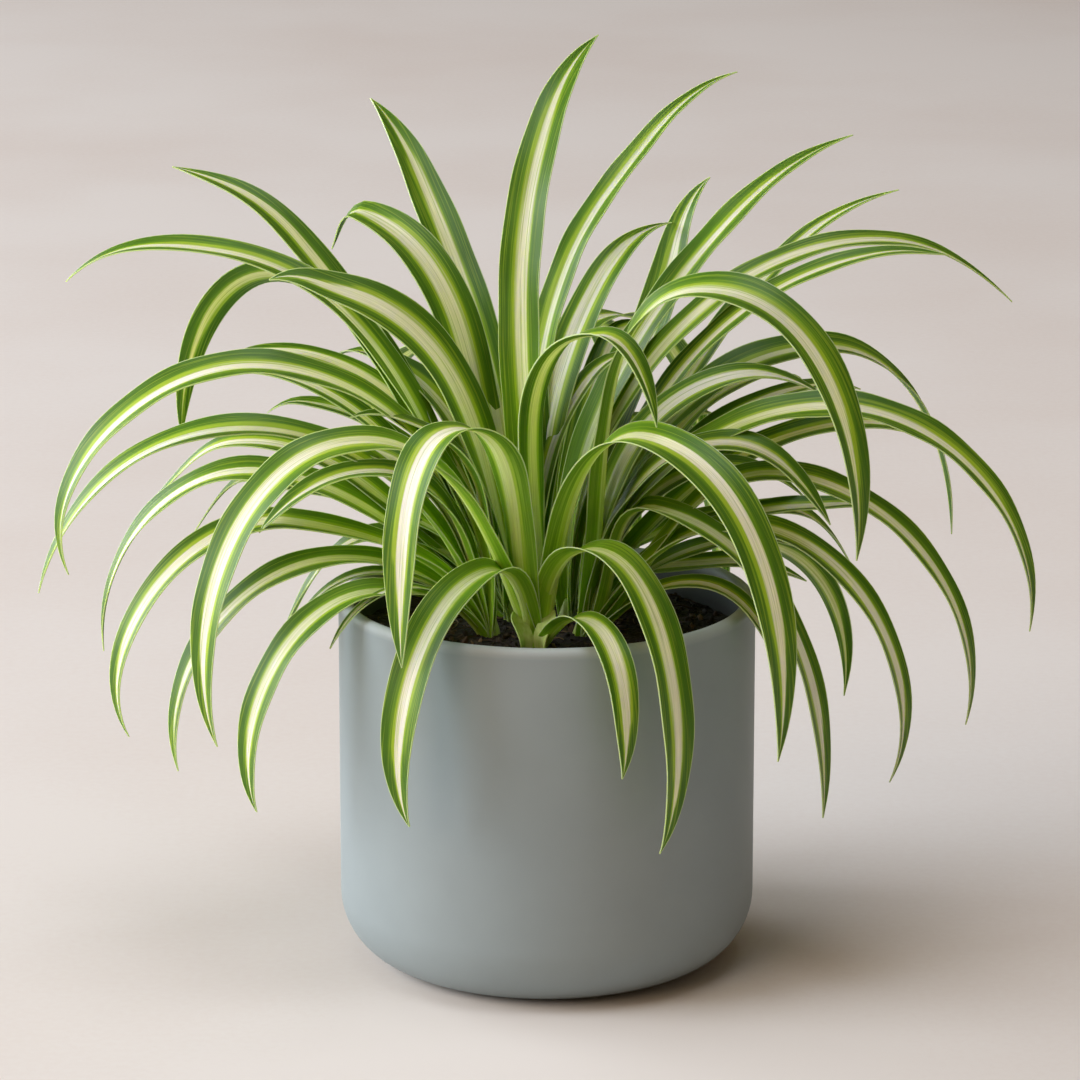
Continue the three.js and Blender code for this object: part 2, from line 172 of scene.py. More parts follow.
LEAVES = {
    "shoot_front": [
        leaf(-132, [48, 253], [84, 157], rise=68, level=8, fall=-95, wide=21),
        leaf(-132, [30, 189], [80, 87], rise=78, fall=-120, wide=20, turn=-8, point=3),
        leaf(-156, [84, 247], [146, 122], rise=70, fall=-110, wide=21, turn=-18),
        leaf(-38, [60, 249], [126, 121], rise=78, level=-5, wide=23, turn=15, point=3),
        leaf(-36, [31, 289], [61, 253], rise=86, level=8, fall=-80),
        leaf(-49, [34, 199], [78, 75], rise=92, level=8, fall=-120, wide=20, point=2.6),
        leaf(-62, [50, 171], [75, 110], rise=48, level=-6, fall=-112, wide=15, point=2.8),
    ],
    "shoot_middle": [
        leaf(68, [9, 360], [75, 395], rise=86, level=50, fall=10, wide=19, point=3),
        leaf(52, [51, 332], [146, 371], rise=94, level=34, fall=2, wide=14, point=3),
        leaf(55, [48, 291], [106, 309], rise=90, level=42, fall=-6, wide=19, point=3),
        leaf(178, [81, 297], [112, 301], rise=72, level=16, fall=-22, wide=23, turn=-38),
        leaf(98, [24, 268], [60, 299], rise=92, level=62, fall=25),
        leaf(24, [25, 256], [49, 266], rise=90, level=50, fall=-5, wide=19),
    ],
    "shoot_left": [
        leaf(186, [103, 270], [180, 180], rise=101, fall=-112, wide=20, turn=-20),
        leaf(177, [103, 239], [195, 164], fall=-76, wide=19, turn=-15),
        leaf(188, [86, 202], [156, 109], rise=76, level=10, fall=-118, turn=-20),
        leaf(184, [63, 184], [135, 90], rise=64, fall=-103, turn=-20),
        leaf(200, [49, 173], [106, 80], rise=62, level=5, fall=-111, wide=17, turn=-20),
        leaf(175, [45, 175], [87, 144], rise=62, level=4, fall=-71, wide=9, turn=-10),
        leaf(205, [42, 174], [75, 151], rise=50, fall=-60, wide=7),
        leaf(188, [29, 241], [60, 246], rise=91, level=24, fall=-20, wide=20),
        leaf(164, [58, 227], [92, 217], rise=84, level=5, fall=-40, wide=15, turn=-12),
        leaf(192, [48, 224], [100, 199], rise=84, level=5, fall=-50, wide=16, turn=-15),
    ],
    "shoot_right": [
        leaf(-24, [61, 306], [125, 195], rise=78, fall=-98, wide=23, turn=18),
        leaf(-20, [34, 208], [109, 78], rise=55, level=-10, fall=-94, turn=10),
        leaf(0, [105, 250], [192, 150], rise=90, fall=-98, wide=19, turn=24),
        leaf(-2, [85, 221], [165, 110], rise=45, level=-6, fall=-103, wide=17, turn=22),
        leaf(7, [97, 203], [131, 195], rise=68, fall=-60, wide=15, turn=12),
        leaf(-8, [66, 200], [133, 88], rise=60, level=3, fall=-115, wide=17, turn=20),
        leaf(-12, [48, 175], [86, 138], rise=40, level=2, fall=-75, wide=13, turn=12),
        leaf(19, [60, 256], [114, 242], rise=88, level=14, fall=-40, wide=20, turn=10),
        leaf(-12, [60, 237], [107, 203], rise=86, level=5, fall=-60, wide=19, turn=14),
        leaf(12, [55, 220], [98, 204], rise=82, level=6, fall=-45, wide=19, turn=10),
        leaf(15, [71, 187], [113, 167], rise=62, level=5, fall=-50, wide=14, turn=8),
    ],
    "shoot_back_left": [
        leaf(116, [84, 319], [146, 353], rise=97, level=40, fall=13, wide=21, point=3),
        leaf(143, [82, 318], [99, 299], rise=74, level=10, fall=-60, wide=22, turn=-22),
        leaf(154, [103, 306], [166, 333], rise=64, level=45, fall=8, wide=19, turn=-14),
        leaf(165, [129, 304], [202, 286], rise=65, level=6, fall=-45, turn=-15),
        leaf(150, [115, 288], [171, 207], rise=58, level=4, fall=-91, wide=16, turn=46),
        leaf(154, [116, 256], [141, 248], rise=84, level=-4, fall=-40, wide=14, turn=-15),
        leaf(169, [120, 254], [143, 246], rise=60, fall=-70, wide=15, turn=-12),
        leaf(158, [97, 236], [116, 229], rise=78, level=2, fall=-40, wide=12, turn=-15),
        leaf(158, [132, 215], [176, 181], rise=38, level=-10, fall=-40, wide=14, turn=-20),
        leaf(168, [110, 208], [185, 122], rise=38, level=5, fall=-96, wide=19, turn=-20),
        leaf(153, [122, 197], [160, 167], rise=70, level=5, fall=-55, wide=13, turn=-18),
        leaf(160, [60, 181], [115, 116], rise=52, level=-9, fall=-62, wide=15, turn=-18),
        leaf(144, [66, 254], [98, 250], rise=82, level=14, fall=-40, wide=20),
        leaf(112, [44, 256], [84, 258], rise=90, level=40, fall=-20),
    ],
    "shoot_back_right": [
        leaf(19, [135, 307], [207, 274], rise=96, fall=-44, wide=16, turn=15),
        leaf(10, [134, 305], [167, 303], rise=78, level=8, fall=-10, wide=15, turn=16),
        leaf(39, [78, 304], [163, 342], rise=100, level=38, fall=8, wide=19, point=3),
        leaf(43, [133, 291], [205, 310], rise=60, level=30, fall=3, wide=14, point=3),
        leaf(54, [79, 299], [107, 326], rise=96, level=68, fall=18, wide=20, point=3),
        leaf(25, [125, 258], [190, 165], level=-6, fall=-88, wide=20, turn=18),
        leaf(14, [127, 229], [177, 211], rise=52, level=2, fall=-30, wide=17, turn=18),
        leaf(24, [97, 188], [139, 155], rise=72, fall=-63, wide=13, turn=18),
        leaf(30, [95, 170], [144, 92], rise=43, level=-8, turn=-25, point=2),
        leaf(31, [102, 245], [122, 235], rise=56, level=2, fall=-84, wide=17),
        leaf(66, [46, 258], [86, 262], rise=90, level=40, fall=-20),
        leaf(44, [66, 226], [104, 216], rise=84, level=12, fall=-40),
        leaf(10, [66, 171], [106, 160], rise=74, level=2, fall=-30, wide=15, turn=15),
        leaf(12, [102, 246], [130, 244], rise=62, level=10, fall=-20, wide=15, turn=12),
    ],
}

# The leaves of the shoot at the back, unseen in the photograph, follow a rule: tiers of leaves, each spread
# over a range of azimuths.
FAR_TIERS = [
    dict(first=58, last=124, count=5, crest=[54, 262], tip=[138, 186], wide=18),
    dict(first=48, last=120, count=4, crest=[58, 216], tip=[126, 118], wide=17),
    dict(first=66, last=112, count=3, crest=[48, 178], tip=[98, 88], wide=15),
]
FAR_SEED = 7
FAR_SPREAD = 8

# Young leaves that stand in front of the crown they grow from
YOUNG_LEAVES = [
    leaf(128, [4, 156], [12, 165], at=[-7, -50], rise=84, level=62, fall=50, wide=8),
    leaf(48, [4, 156], [12, 166], at=[-5, -50], rise=84, level=62, fall=50, wide=8),
]


def linear(hex_colour):
    """An sRGB hex colour such as "8f9796" as a linear RGBA tuple."""
    channels = [int(hex_colour[i : i + 2], 16) / 255 for i in (0, 2, 4)]
    return tuple(c / 12.92 if c <= 0.04045 else ((c + 0.055) / 1.055) ** 2.4 for c in channels) + (1.0,)


def add_node(tree, kind, inputs=(), output=0, stops=(), **settings):
    """Adds a shader node with its settings and links, and gives back its output of that name or number.

    Inputs are sockets, values or hex colours, in the node's order or by name or number. Stops are a ramp's
    places and colours.
    """
    node = tree.nodes.new("ShaderNode" + kind)
    for name, value in settings.items():
        setattr(node, name, value)
    for key, value in inputs.items() if isinstance(inputs, dict) else enumerate(inputs):
        if isinstance(value, bpy.types.NodeSocket):
            tree.links.new(value, node.inputs[key])
        else:
            node.inputs[key].default_value = linear(value) if isinstance(value, str) else value
    if stops:
        ramp = node.color_ramp
        while len(ramp.elements) < len(stops):
            ramp.elements.new(1.0)
        for element, (place, colour) in zip(ramp.elements, stops):
            element.position = place
            element.color = linear(colour) if isinstance(colour, str) else colour
    return node.outputs[output] if node.outputs else None


# Settings of a Mix node that mixes two colours
COLOURS = dict(output=2, data_type="RGBA")


def empty_material(name):
    """A material without nodes, and add_node for its node tree."""
    material = bpy.data.materials.new(name)
    material.use_nodes = True
    material.node_tree.nodes.clear()
    return material, partial(add_node, material.node_tree)


def glazed_stoneware(settings):
    """Stoneware dipped in a satin grey-blue glaze and fired.

    The eye gets an even colour with faint clouds where the glaze ran thicker, a soft sheen, fine pin-prick
    unevenness, a paler lip, partly where the glaze ran thin and partly a painted highlight, painted shade on
    the inner wall above the soil, and bare clay on the flat foot.
    """
    material, add = empty_material("glazed_stoneware")
    place = add("TexCoord", output="Object")
    height = add("SeparateXYZ", [place], output="Z")
    clouds = add("TexNoise", {"Vector": place, "Scale": 1 / (71.4 * MM), "Detail": 4.0})
    glazes = [(0.3, settings.glaze_dark), (0.7, settings.glaze_light)]
    glaze = add("ValToRGB", [clouds], stops=glazes)
    wiped = add("MapRange", [height, 0.2 * MM, 0.9 * MM, 1.0, 0.0])
    footed = add("Mix", {0: wiped, 6: glaze, 7: "b9a58c"}, **COLOURS)

    # Painted shade lies on the inner wall, darkest low down by the soil and lighter towards the lip.
    level = add("VectorMath", [place, (1, 1, 0)], operation="MULTIPLY")
    off_axis = add("VectorMath", [level], output="Value", operation="LENGTH")
    inner = add("MapRange", [off_axis, 83.5 * MM, 86 * MM, 1.0, 0.0])
    up_wall = add("MapRange", [height, 100 * MM, POT_HEIGHT])
    greys = [(0.0, "000000"), (0.3, "eeeeee"), (0.75, "eeeeee"), (1.0, "909090")]
    inner_shade_by_height = add("ValToRGB", [up_wall], stops=greys)
    painted_inner_shade = add("Math", [inner, inner_shade_by_height], operation="MULTIPLY")
    inner_shaded = add("Mix", {0: painted_inner_shade, 6: footed, 7: "2a2a26"}, **COLOURS)

    # The lip is paler, partly where the glaze ran thin and partly a painted highlight along its edge.
    lip_thin_and_highlight = add("MapRange", [height, 157.5 * MM, 161 * MM, 0.0, 0.6])
    lip_lightened = add("Mix", {0: lip_thin_and_highlight, 6: inner_shaded, 7: settings.glaze_thin}, **COLOURS)

    # Pin-pricks 1 mm apart on a surface that waves slightly every 3 cm
    grain = add("TexNoise", {"Vector": place, "Scale": 1 / (1.111 * MM)})
    ripple = add("TexNoise", {"Vector": place, "Scale": 1 / (28.57 * MM)})
    fine = add("Bump", {"Height": grain, "Strength": 0.06, "Distance": 0.1 * MM})
    broad = {"Height": ripple, "Strength": 0.12, "Distance": 0.5 * MM, "Normal": fine}
    finish = {
        "Base Color": lip_lightened,
        "Roughness": add("MapRange", [ripple, 0.0, 1.0, 0.5, 0.6]),
        "IOR": 1.5,
        "Specular IOR Level": 0.3,
        "Coat Weight": 0.04,
        "Coat Roughness": 0.2,
        "Normal": add("Bump", broad),
    }
    add("OutputMaterial", {"Surface": add("BsdfPrincipled", finish)})
    return material


def potting_mix(settings):
    """Moist peat and bark potting mix, pressed in by hand.

    The eye gets near-black brown with paler crumbs, quite rough.
    """
    material, add = empty_material("potting_mix")
    place = add("TexCoord", output="Object")
    crumbs = add("TexVoronoi", {"Vector": place, "Scale": 1 / (2.381 * MM)})
    clumps = add("TexNoise", {"Vector": place, "Scale": 1 / (6.25 * MM), "Detail": 6.0})
    browns = [(0.35, settings.soil_dark), (0.6, settings.soil_light), (0.78, "6b5236")]
    brown = add("ValToRGB", [clumps], stops=browns)
    bump = add("Bump", {"Height": crumbs, "Strength": 0.8, "Distance": 1.2 * MM})
    shader = add("BsdfPrincipled", {"Base Color": brown, "Roughness": 0.85, "Normal": bump})
    add("OutputMaterial", {"Surface": shader})
    return material


def bark_and_fibre():
    """Bits of composted bark and coir fibre that lie loose on the soil: each bit has its own brown."""
    material, add = empty_material("bark_and_fibre")
    place = add("TexCoord", output="Object")
    shade = add("Attribute", output="Fac", attribute_name="shade")
    browns = [(0.0, "150f0a"), (0.55, "2a1d12"), (0.85, "4c3822"), (1.0, "7a6440")]
    brown = add("ValToRGB", [shade], stops=browns)
    grain = add("TexNoise", {"Vector": place, "Scale": 1 / (0.6667 * MM), "Detail": 3.0})
    bump = add("Bump", {"Height": grain, "Strength": 0.5, "Distance": 0.3 * MM})
    shader = add("BsdfPrincipled", {"Base Color": brown, "Roughness": 0.8, "Normal": bump})
    add("OutputMaterial", {"Surface": shader})
    return material


def leaf_face(name, settings, upper):
    """One face of a living spider plant leaf, with its cream band, lime streaks, green margins and pale edge.

    The eye gets long even streaks from base to tip, because the veins run side by side, a soft wax sheen,
    and light that glows a little through the blade. The underside is duller, with a band of yellow-green.
    """
    material, add = empty_material(name)
    across, along, span, run, tone, half_width = [
        add("Attribute", output="Fac", attribute_name=label)
        for label in ("across", "along", "span", "run", "tone", "half_width")
    ]

    # Streaks run along the blade and differ on each leaf. In millimetres they are 2 wide, hairlines 0.7 and
    # fibres 0.25.
    slow_run = add("Math", [run, STREAK_STRETCH], operation="MULTIPLY")
    apart = add("Math", [tone, LEAVES_APART], operation="MULTIPLY")
    line = add("CombineXYZ", [span, slow_run, apart])
    streaks, hairlines, fibres = [
        add("TexNoise", {"Vector": line, "Scale": 1 / width, "Detail": detail})
        for width, detail in ((2, 2.0), (2 / 3, 2.0), (0.25, 3.0))
    ]

    # The band is wider on some leaves, and closes towards the tip.
    share = add("MapRange", [tone, 0.0, 1.0, settings.band_narrow, settings.band_wide])
    closing = add("MapRange", [along, 0.8, 1.0, 1.0, 0.12])
    band = add("Math", [share, closing], operation="MULTIPLY")
    ragged = add("MapRange", [streaks, 0.3, 0.7, -0.08, 0.08])
    distance = add("Math", [across], operation="ABSOLUTE")
    from_middle = add("Math", [distance, ragged])
    past_band = add("Math", [from_middle, band], operation="SUBTRACT")
    step = add("MapRange", [past_band, -0.5, 0.5])
    face = "" if upper else "under_"
    lime, green, deep_green = [getattr(settings, face + tint) for tint in ("lime", "green", "deep_green")]
    greens = [(0.0, lime), (0.48, lime), (0.54, green), (0.72, deep_green)]
    outside = add("ValToRGB", [step], stops=greens)

    # The cream lies a little to one side of the midrib, by a second lot of the leaf, so lime shows more on
    # the other side. Low down it turns to pale green.
    lot = add("Math", [tone, SECOND_LOT], operation="MULTIPLY")
    side = add("Math", [lot], operation="FRACT")
    shift = add("MapRange", [side, 0.0, 1.0, -0.12, 0.12])
    aside = add("Math", [across, shift], operation="SUBTRACT")
    off_core = add("Math", [aside], operation="ABSOLUTE")
    core_share = add("Math", [band, CREAM_SHARE], operation="MULTIPLY")
    ragged_core = add("Math", [off_core, ragged])
    past_core = add("Math", [ragged_core, core_share], operation="SUBTRACT")
    core = add("MapRange", [past_core, -0.05, 0.04, 1.0, 0.0])
    greening = add("MapRange", [along, 0.15, 0.62, 0.9, 0.0])
    cream = {0: greening, 6: settings.cream if upper else settings.under_band, 7: settings.young_band}
    middle = add("Mix", cream, **COLOURS)
    pattern = add("Mix", {0: core, 6: outside, 7: middle}, **COLOURS)

    # Fine lime hairlines run through the cream and the green.
    fine = add("MapRange", [hairlines, 0.52, 0.66, 0.0, 0.5])
    streaked = add("Mix", {0: fine, 6: pattern, 7: lime}, **COLOURS)

    # The lower part of each leaf is brighter, partly as young tissue and partly as painted light in the
    # shaded middle of the plant, and the highest leaves are darker, as painted shade.
    young = add("MapRange", [along, 0.0, 0.5, 0.52, 0.0])
    based = add("Mix", {0: young, 6: streaked, 7: settings.young}, **COLOURS)
    place = add("TexCoord", output="Object")
    height = add("SeparateXYZ", [place], output="Z")
    # Painted shade: above 260 mm the leaves are mixed towards deep green.
    high_leaf_painted_shade = add("MapRange", [height, 260 * MM, 340 * MM, 0.0, 0.3])
    high_leaf_shade_mix = {0: high_leaf_painted_shade, 6: based, 7: settings.deep_green}
    shaded = add("Mix", high_leaf_shade_mix, **COLOURS)
    strength = add("MapRange", [fibres, 0.3, 0.7, 0.82, 1.16])
    fibrous = add("HueSaturation", {"Value": strength, "Color": shaded})

    # The very edge is a clear, pale line 0.3 mm wide.
    inset = add("Math", [span], operation="ABSOLUTE")
    from_edge = add("Math", [half_width, inset], operation="SUBTRACT")
    edge = add("MapRange", [from_edge, 0.15, 0.4, 0.75, 0.0])
    colour = add("Mix", {0: edge, 6: fibrous, 7: settings.edge}, **COLOURS)

    # The veins are shallow ribs along the blade.
    turn = add("Math", [span, math.tau / VEIN_SPACING], operation="MULTIPLY")
    veins = add("Math", [turn], operation="SINE")
    wax = (0.34, 0.48) if upper else (0.5, 0.64)
    finish = {
        "Base Color": colour,
        "Roughness": add("MapRange", [streaks, 0.0, 1.0, *wax]),
        "IOR": 1.42,
        "Specular IOR Level": 0.35,
        "Subsurface Weight": 0.9,
        "Subsurface Radius": (1.0, 1.1, 0.3),
        "Subsurface Scale": 1.4 * MM,
        "Normal": add("Bump", {"Height": veins, "Strength": 0.18, "Distance": 0.06 * MM}),
    }
    add("OutputMaterial", {"Surface": add("BsdfPrincipled", finish)})
    return material


def leaf_sheath(settings):
    """The wrapped leaf bases at the crown, grown out of the light: pale green, with faint ribs along them."""
    material, add = empty_material("leaf_sheath")
    place = add("TexCoord", output="Object")
    stretched = add("Mapping", {"Vector": place, "Scale": (1.0, 1.0, 0.12)})
    ribs = add("TexNoise", {"Vector": stretched, "Scale": 1 / (1.4286 * MM), "Detail": 3.0})
    height = add("SeparateXYZ", [place], output="Z")
    rise = add("MapRange", [height, SOIL_EDGE * MM, 158 * MM])
    tints = [(0.0, "8c8a4e"), (0.35, settings.sheath), (1.0, settings.young_band)]
    ground = add("ValToRGB", [rise], stops=tints)
    ribbed = {0: ribs, 6: ground, 7: settings.under_lime}
    colour = add("Mix", ribbed, **COLOURS, blend_type="MULTIPLY")
    finish = {
        "Base Color": colour,
        "Roughness": 0.5,
        "Subsurface Weight": 0.2,
        "Subsurface Radius": (0.6, 1.0, 0.25),
        "Subsurface Scale": 2.0 * MM,
        "Normal": add("Bump", {"Height": ribs, "Strength": 0.3, "Distance": 0.3 * MM}),
    }
    add("OutputMaterial", {"Surface": add("BsdfPrincipled", finish)})
    return material


def plaster_floor(settings):
    """A floor of warm pale plaster, trowelled smooth: broad soft clouds a little darker than the rest."""
    material, add = empty_material("plaster_floor")
    place = add("TexCoord", output="Object")
    clouds = add("TexNoise", {"Vector": place, "Scale": 1 / (416.67 * MM), "Detail": 5.0})
    specks = add("TexNoise", {"Vector": place, "Scale": 1 / (3.8462 * MM), "Detail": 3.0})
    both = add("Math", [specks, 0.25, clouds], operation="MULTIPLY_ADD")
    plasters = [(0.35, settings.floor_dark), (0.7, settings.floor_light)]
    colour = add("ValToRGB", [both], stops=plasters)
    finish = {"Base Color": colour, "Roughness": 0.8, "Specular IOR Level": 0.2}
    add("OutputMaterial", {"Surface": add("BsdfPrincipled", finish)})
    return material


def deselect_all():
    bpy.ops.object.select_all(action="DESELECT")


def edit_mode(part):
    bpy.ops.object.mode_set(mode="EDIT")
    bpy.ops.mesh.select_mode(type=part)


def new_piece(name):
    """The object that a primitive operator has just added, under its own name."""
    piece = bpy.context.active_object
    piece.name = name
    piece.data.name = name
    return piece


def new_object(name, data):
    """An object for a mesh, light or camera made in code."""
    made = bpy.data.objects.new(name, data)
    bpy.context.collection.objects.link(made)
    return made


def select_parts(piece, wanted_edges=None, wanted_faces=None):
    """In edit mode, selects the edges or faces that the test accepts, and nothing else."""
    bpy.ops.mesh.select_all(action="DESELECT")
    mesh = bmesh.from_edit_mesh(piece.data)
    for edge in mesh.edges if wanted_edges else ():
        if wanted_edges(edge):
            edge.select_set(True)
    for face in mesh.faces if wanted_faces else ():
        if wanted_faces(face):
            face.select_set(True)
    bmesh.update_edit_mesh(piece.data)


def ring_at(radius, height, tolerance=0.2 * MM):
    """A test for edges that lie on the level circle of that radius and height."""

    def on_ring(edge):
        return all(
            abs(math.hypot(v.co.x, v.co.y) - radius) < tolerance and abs(v.co.z - height) < tolerance
            for v in edge.verts
        )

    return on_ring


def upright(edge):
    """A test for the side edges of a new cylinder 1 high."""
    return abs(edge.verts[0].co.z - edge.verts[1].co.z) > 0.5


def close_form():
    """Merges what lies in one place, turns the faces outwards and leaves edit mode."""
    bpy.ops.mesh.select_all(action="SELECT")
    bpy.ops.mesh.remove_doubles(threshold=MERGED)
    bpy.ops.mesh.normals_make_consistent(inside=False)
    bpy.ops.object.mode_set(mode="OBJECT")


def smooth(piece, crease, *materials):
    """Gives the piece its materials and shades it smooth, apart from edges sharper than the crease."""
    for material in materials:
        piece.data.materials.append(material)
    bpy.ops.object.shade_smooth_by_angle(angle=math.radians(crease))


def hand_over(piece, slot, *nodes):
    """Rides the piece on the body and lets it stand for the nodes. The slot is not used."""
    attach(piece, BODY)
    if nodes:
        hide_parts(*nodes)


def build_pot(settings):
    """Turns a cylinder into the pot: hollowed by inset and extrude, with its corners and lip rounded."""
    radius, height = POT_RADIUS, POT_HEIGHT
    deselect_all()
    middle = (0, 0, height / 2)
    bpy.ops.mesh.primitive_cylinder_add(vertices=settings.sides, radius=radius, depth=height, location=middle)
    pot = new_piece("glazed_pot")
    bpy.ops.object.transform_apply()
    edit_mode("FACE")
    select_parts(pot, wanted_faces=lambda face: face.normal.z > 0.9)
    bpy.ops.mesh.inset(thickness=settings.wall, depth=0)
    bpy.ops.mesh.extrude_region_move(TRANSFORM_OT_translate={"value": (0, 0, settings.floor - height)})
    bpy.ops.mesh.select_mode(type="EDGE")
    inner = radius - settings.wall
    lip = settings.wall / 2 * LIP_SHARE
    roundings = [
        (radius, 0, settings.corner, settings.corner_steps),
        (inner, settings.floor, settings.inner_corner, settings.corner_steps),
        (radius, height, lip, settings.lip_steps),
        (inner, height, lip, settings.lip_steps),
    ]
    for ring_radius, ring_height, rounding, steps in roundings:
        select_parts(pot, wanted_edges=ring_at(ring_radius, ring_height))
        bpy.ops.mesh.bevel(offset=rounding, segments=steps, profile=0.5, affect="EDGES")
    close_form()
    smooth(pot, POT_CREASE, glazed_stoneware(settings))
    hand_over(pot, "pot_glaze", "pot")


def soil_height(x, y):
    """Height of the soil in millimetres: level at the wall, a low mound, clods and small crumbs."""
    inward = SOIL_RADIUS / MM - math.hypot(x, y)
    mound = SOIL_MOUND * min(1.0, max(0.0, inward) / SOIL_MOUND_RISE)
    lumps = [noise.noise(Vector((x / wide, y / wide, layer))) * high for wide, high, layer in SOIL_LUMPS]
    return SOIL_EDGE + mound + sum(lumps)


def build_soil(settings):
    """Spins half an outline into the filling of the pot and works its top into crumbly ground."""
    reach = SOIL_RADIUS / MM
    corner = SOIL_CORNER
    arc = [math.pi / 2 * i / SOIL_CORNER_STEPS for i in range(SOIL_CORNER_STEPS + 1)]
    side = [(reach - corner + corner * math.sin(a), SOIL_FOOT + corner - corner * math.cos(a)) for a in arc]
    rings = [reach * (1 - i / settings.rings) for i in range(settings.rings + 1)]
    outline = [(0.0, SOIL_FOOT)] + side + [(radius, SOIL_EDGE) for radius in rings]
    deselect_all()
    bpy.ops.mesh.primitive_circle_add(vertices=len(outline), fill_type="NOTHING")
    soil = new_piece("potting_soil")
    for vertex, (radius, height) in zip(soil.data.vertices, outline):
        vertex.co = (radius * MM, 0, height * MM)
    edit_mode("EDGE")
    select_parts(soil, wanted_edges=lambda edge: all(abs(v.co.x) < MERGED for v in edge.verts))
    bpy.ops.mesh.delete(type="EDGE")
    bpy.ops.mesh.select_mode(type="VERT")
    bpy.ops.mesh.select_all(action="SELECT")
    bpy.ops.mesh.spin(steps=settings.spokes, angle=math.tau, center=(0, 0, 0), axis=(0, 0, 1))
    close_form()
    for vertex in soil.data.vertices:
        if vertex.co.z > (SOIL_EDGE - 0.5) * MM:
            vertex.co.z = soil_height(vertex.co.x / MM, vertex.co.y / MM) * MM
    smooth(soil, SOIL_CREASE, potting_mix(settings))
    hand_over(soil, "potting_soil", "soil")


def spot_on_soil(random):
    """A random place on the soil, evenly spread, and its height, all in millimetres."""
    reach = SOIL_RADIUS / MM - BIT_MARGIN
    radius = reach * math.sqrt(random.random())
    angle = math.tau * random.random()
    x, y = radius * math.cos(angle), radius * math.sin(angle)
    return x, y, soil_height(x, y)


def set_attribute(mesh, name, values):
    """Writes one float for each vertex."""
    layer = mesh.attributes.new(name, "FLOAT", "POINT")
    layer.data.foreach_set("value", np.asarray(values, dtype=np.float32).ravel())


def join_copies(name, meshes, material):
    """Makes each mesh an object and joins them in one piece."""
    deselect_all()
    for mesh in meshes:
        copy = new_object(name, mesh)
        copy.select_set(True)
        bpy.context.view_layer.objects.active = copy
    bpy.ops.object.join()
    piece = new_piece(name)
    piece.data.materials.clear()
    piece.data.materials.append(material)
    return piece


def build_soil_bits(settings):
    """Scatters crumbs of bark and bent fibres on the soil, each modelled once and copied."""
    random = np.random.RandomState(settings.seed)
    material = bark_and_fibre()
    deselect_all()
    bpy.ops.mesh.primitive_ico_sphere_add(subdivisions=1, radius=1)
    crumb = new_piece("crumb")
    crumbs = []
    for _ in range(settings.crumbs):
        x, y, z = spot_on_soil(random)
        mesh = crumb.data.copy()
        size = CRUMB_LEAST + CRUMB_RANGE * random.random() ** 2
        for vertex in mesh.vertices:
            vertex.co *= 1 + CRUMB_UNEVENNESS * (random.random() - 0.5)
        stretch = Matrix.Diagonal((size * (1 + random.random()), size, size * CRUMB_FLATNESS, 1))
        turn = Euler(tuple(random.random(3) * math.tau)).to_matrix().to_4x4()
        place = Matrix.Translation((x, y, z + CRUMB_LIFT * size))
        mesh.transform(Matrix.Scale(MM, 4) @ place @ turn @ stretch)
        set_attribute(mesh, "shade", np.full(len(mesh.vertices), random.random()))
        crumbs.append(mesh)
    bits = join_copies("soil_crumbs", crumbs, material)
    hand_over(bits, "potting_soil")
    bpy.data.objects.remove(crumb)

    deselect_all()
    bpy.ops.mesh.primitive_cylinder_add(vertices=4, radius=1, depth=1)
    fibre = new_piece("fibre")
    edit_mode("EDGE")
    select_parts(fibre, wanted_edges=upright)
    bpy.ops.mesh.subdivide(number_cuts=FIBRE_CUTS)
    bpy.ops.object.mode_set(mode="OBJECT")
    fibres = []
    for _ in range(settings.fibres):
        x, y, z = spot_on_soil(random)
        mesh = fibre.data.copy()
        length = FIBRE_LEAST + FIBRE_RANGE * random.random()
        thick = FIBRE_THIN + FIBRE_THICKER * random.random() ** 2
        curl = (random.random() - 0.5) * FIBRE_CURL
        heading = random.random() * math.tau
        arch = FIBRE_ARCH * random.random()
        for vertex in mesh.vertices:
            share = vertex.co.z
            bend = heading + curl * share
            path_x = x + length * share * math.cos(bend)
            path_y = y + length * share * math.sin(bend)
            away = math.hypot(path_x, path_y) / (SOIL_RADIUS / MM - FIBRE_MARGIN)
            path_x, path_y = path_x / max(1, away), path_y / max(1, away)
            lift = soil_height(path_x, path_y) + FIBRE_LIFT + arch * (0.25 - share * share) * 2
            vertex.co = (
                (path_x - math.sin(bend) * thick * vertex.co.x) * MM,
                (path_y + math.cos(bend) * thick * vertex.co.x) * MM,
                (lift + thick * vertex.co.y) * MM,
            )
        shade = PALEST_FROM + (1 - PALEST_FROM) * random.random()
        set_attribute(mesh, "shade", np.full(len(mesh.vertices), shade))
        fibres.append(mesh)
    strands = join_copies("soil_fibres", fibres, material)
    hand_over(strands, "potting_soil")
    bpy.data.objects.remove(fibre)


def cubic(start, end, slope_start, slope_end, fullness):
    """Points and slopes of a cubic curve between two points [out, up] with the slopes given at its ends."""
    start, end = np.array(start, float), np.array(end, float)
    handle = fullness * np.linalg.norm(end - start)
    angles = math.radians(slope_start), math.radians(slope_end)
    out, back = [handle * np.array([math.cos(angle), math.sin(angle)]) for angle in angles]
    points = [start, start + out, end - back, end]
    s = np.linspace(0, 1, CURVE_SAMPLES)[:, None]
    weights = [(1 - s) ** 3, 3 * s * (1 - s) ** 2, 3 * s**2 * (1 - s), s**3]
    place = sum(w * p for w, p in zip(weights, points))
    shares = [(1 - s) ** 2, 2 * s * (1 - s), s**2]
    slope = sum(w * (b - a) for w, a, b in zip(shares, points[:3], points[1:]))
    return place, slope / np.linalg.norm(slope, axis=1, keepdims=True)


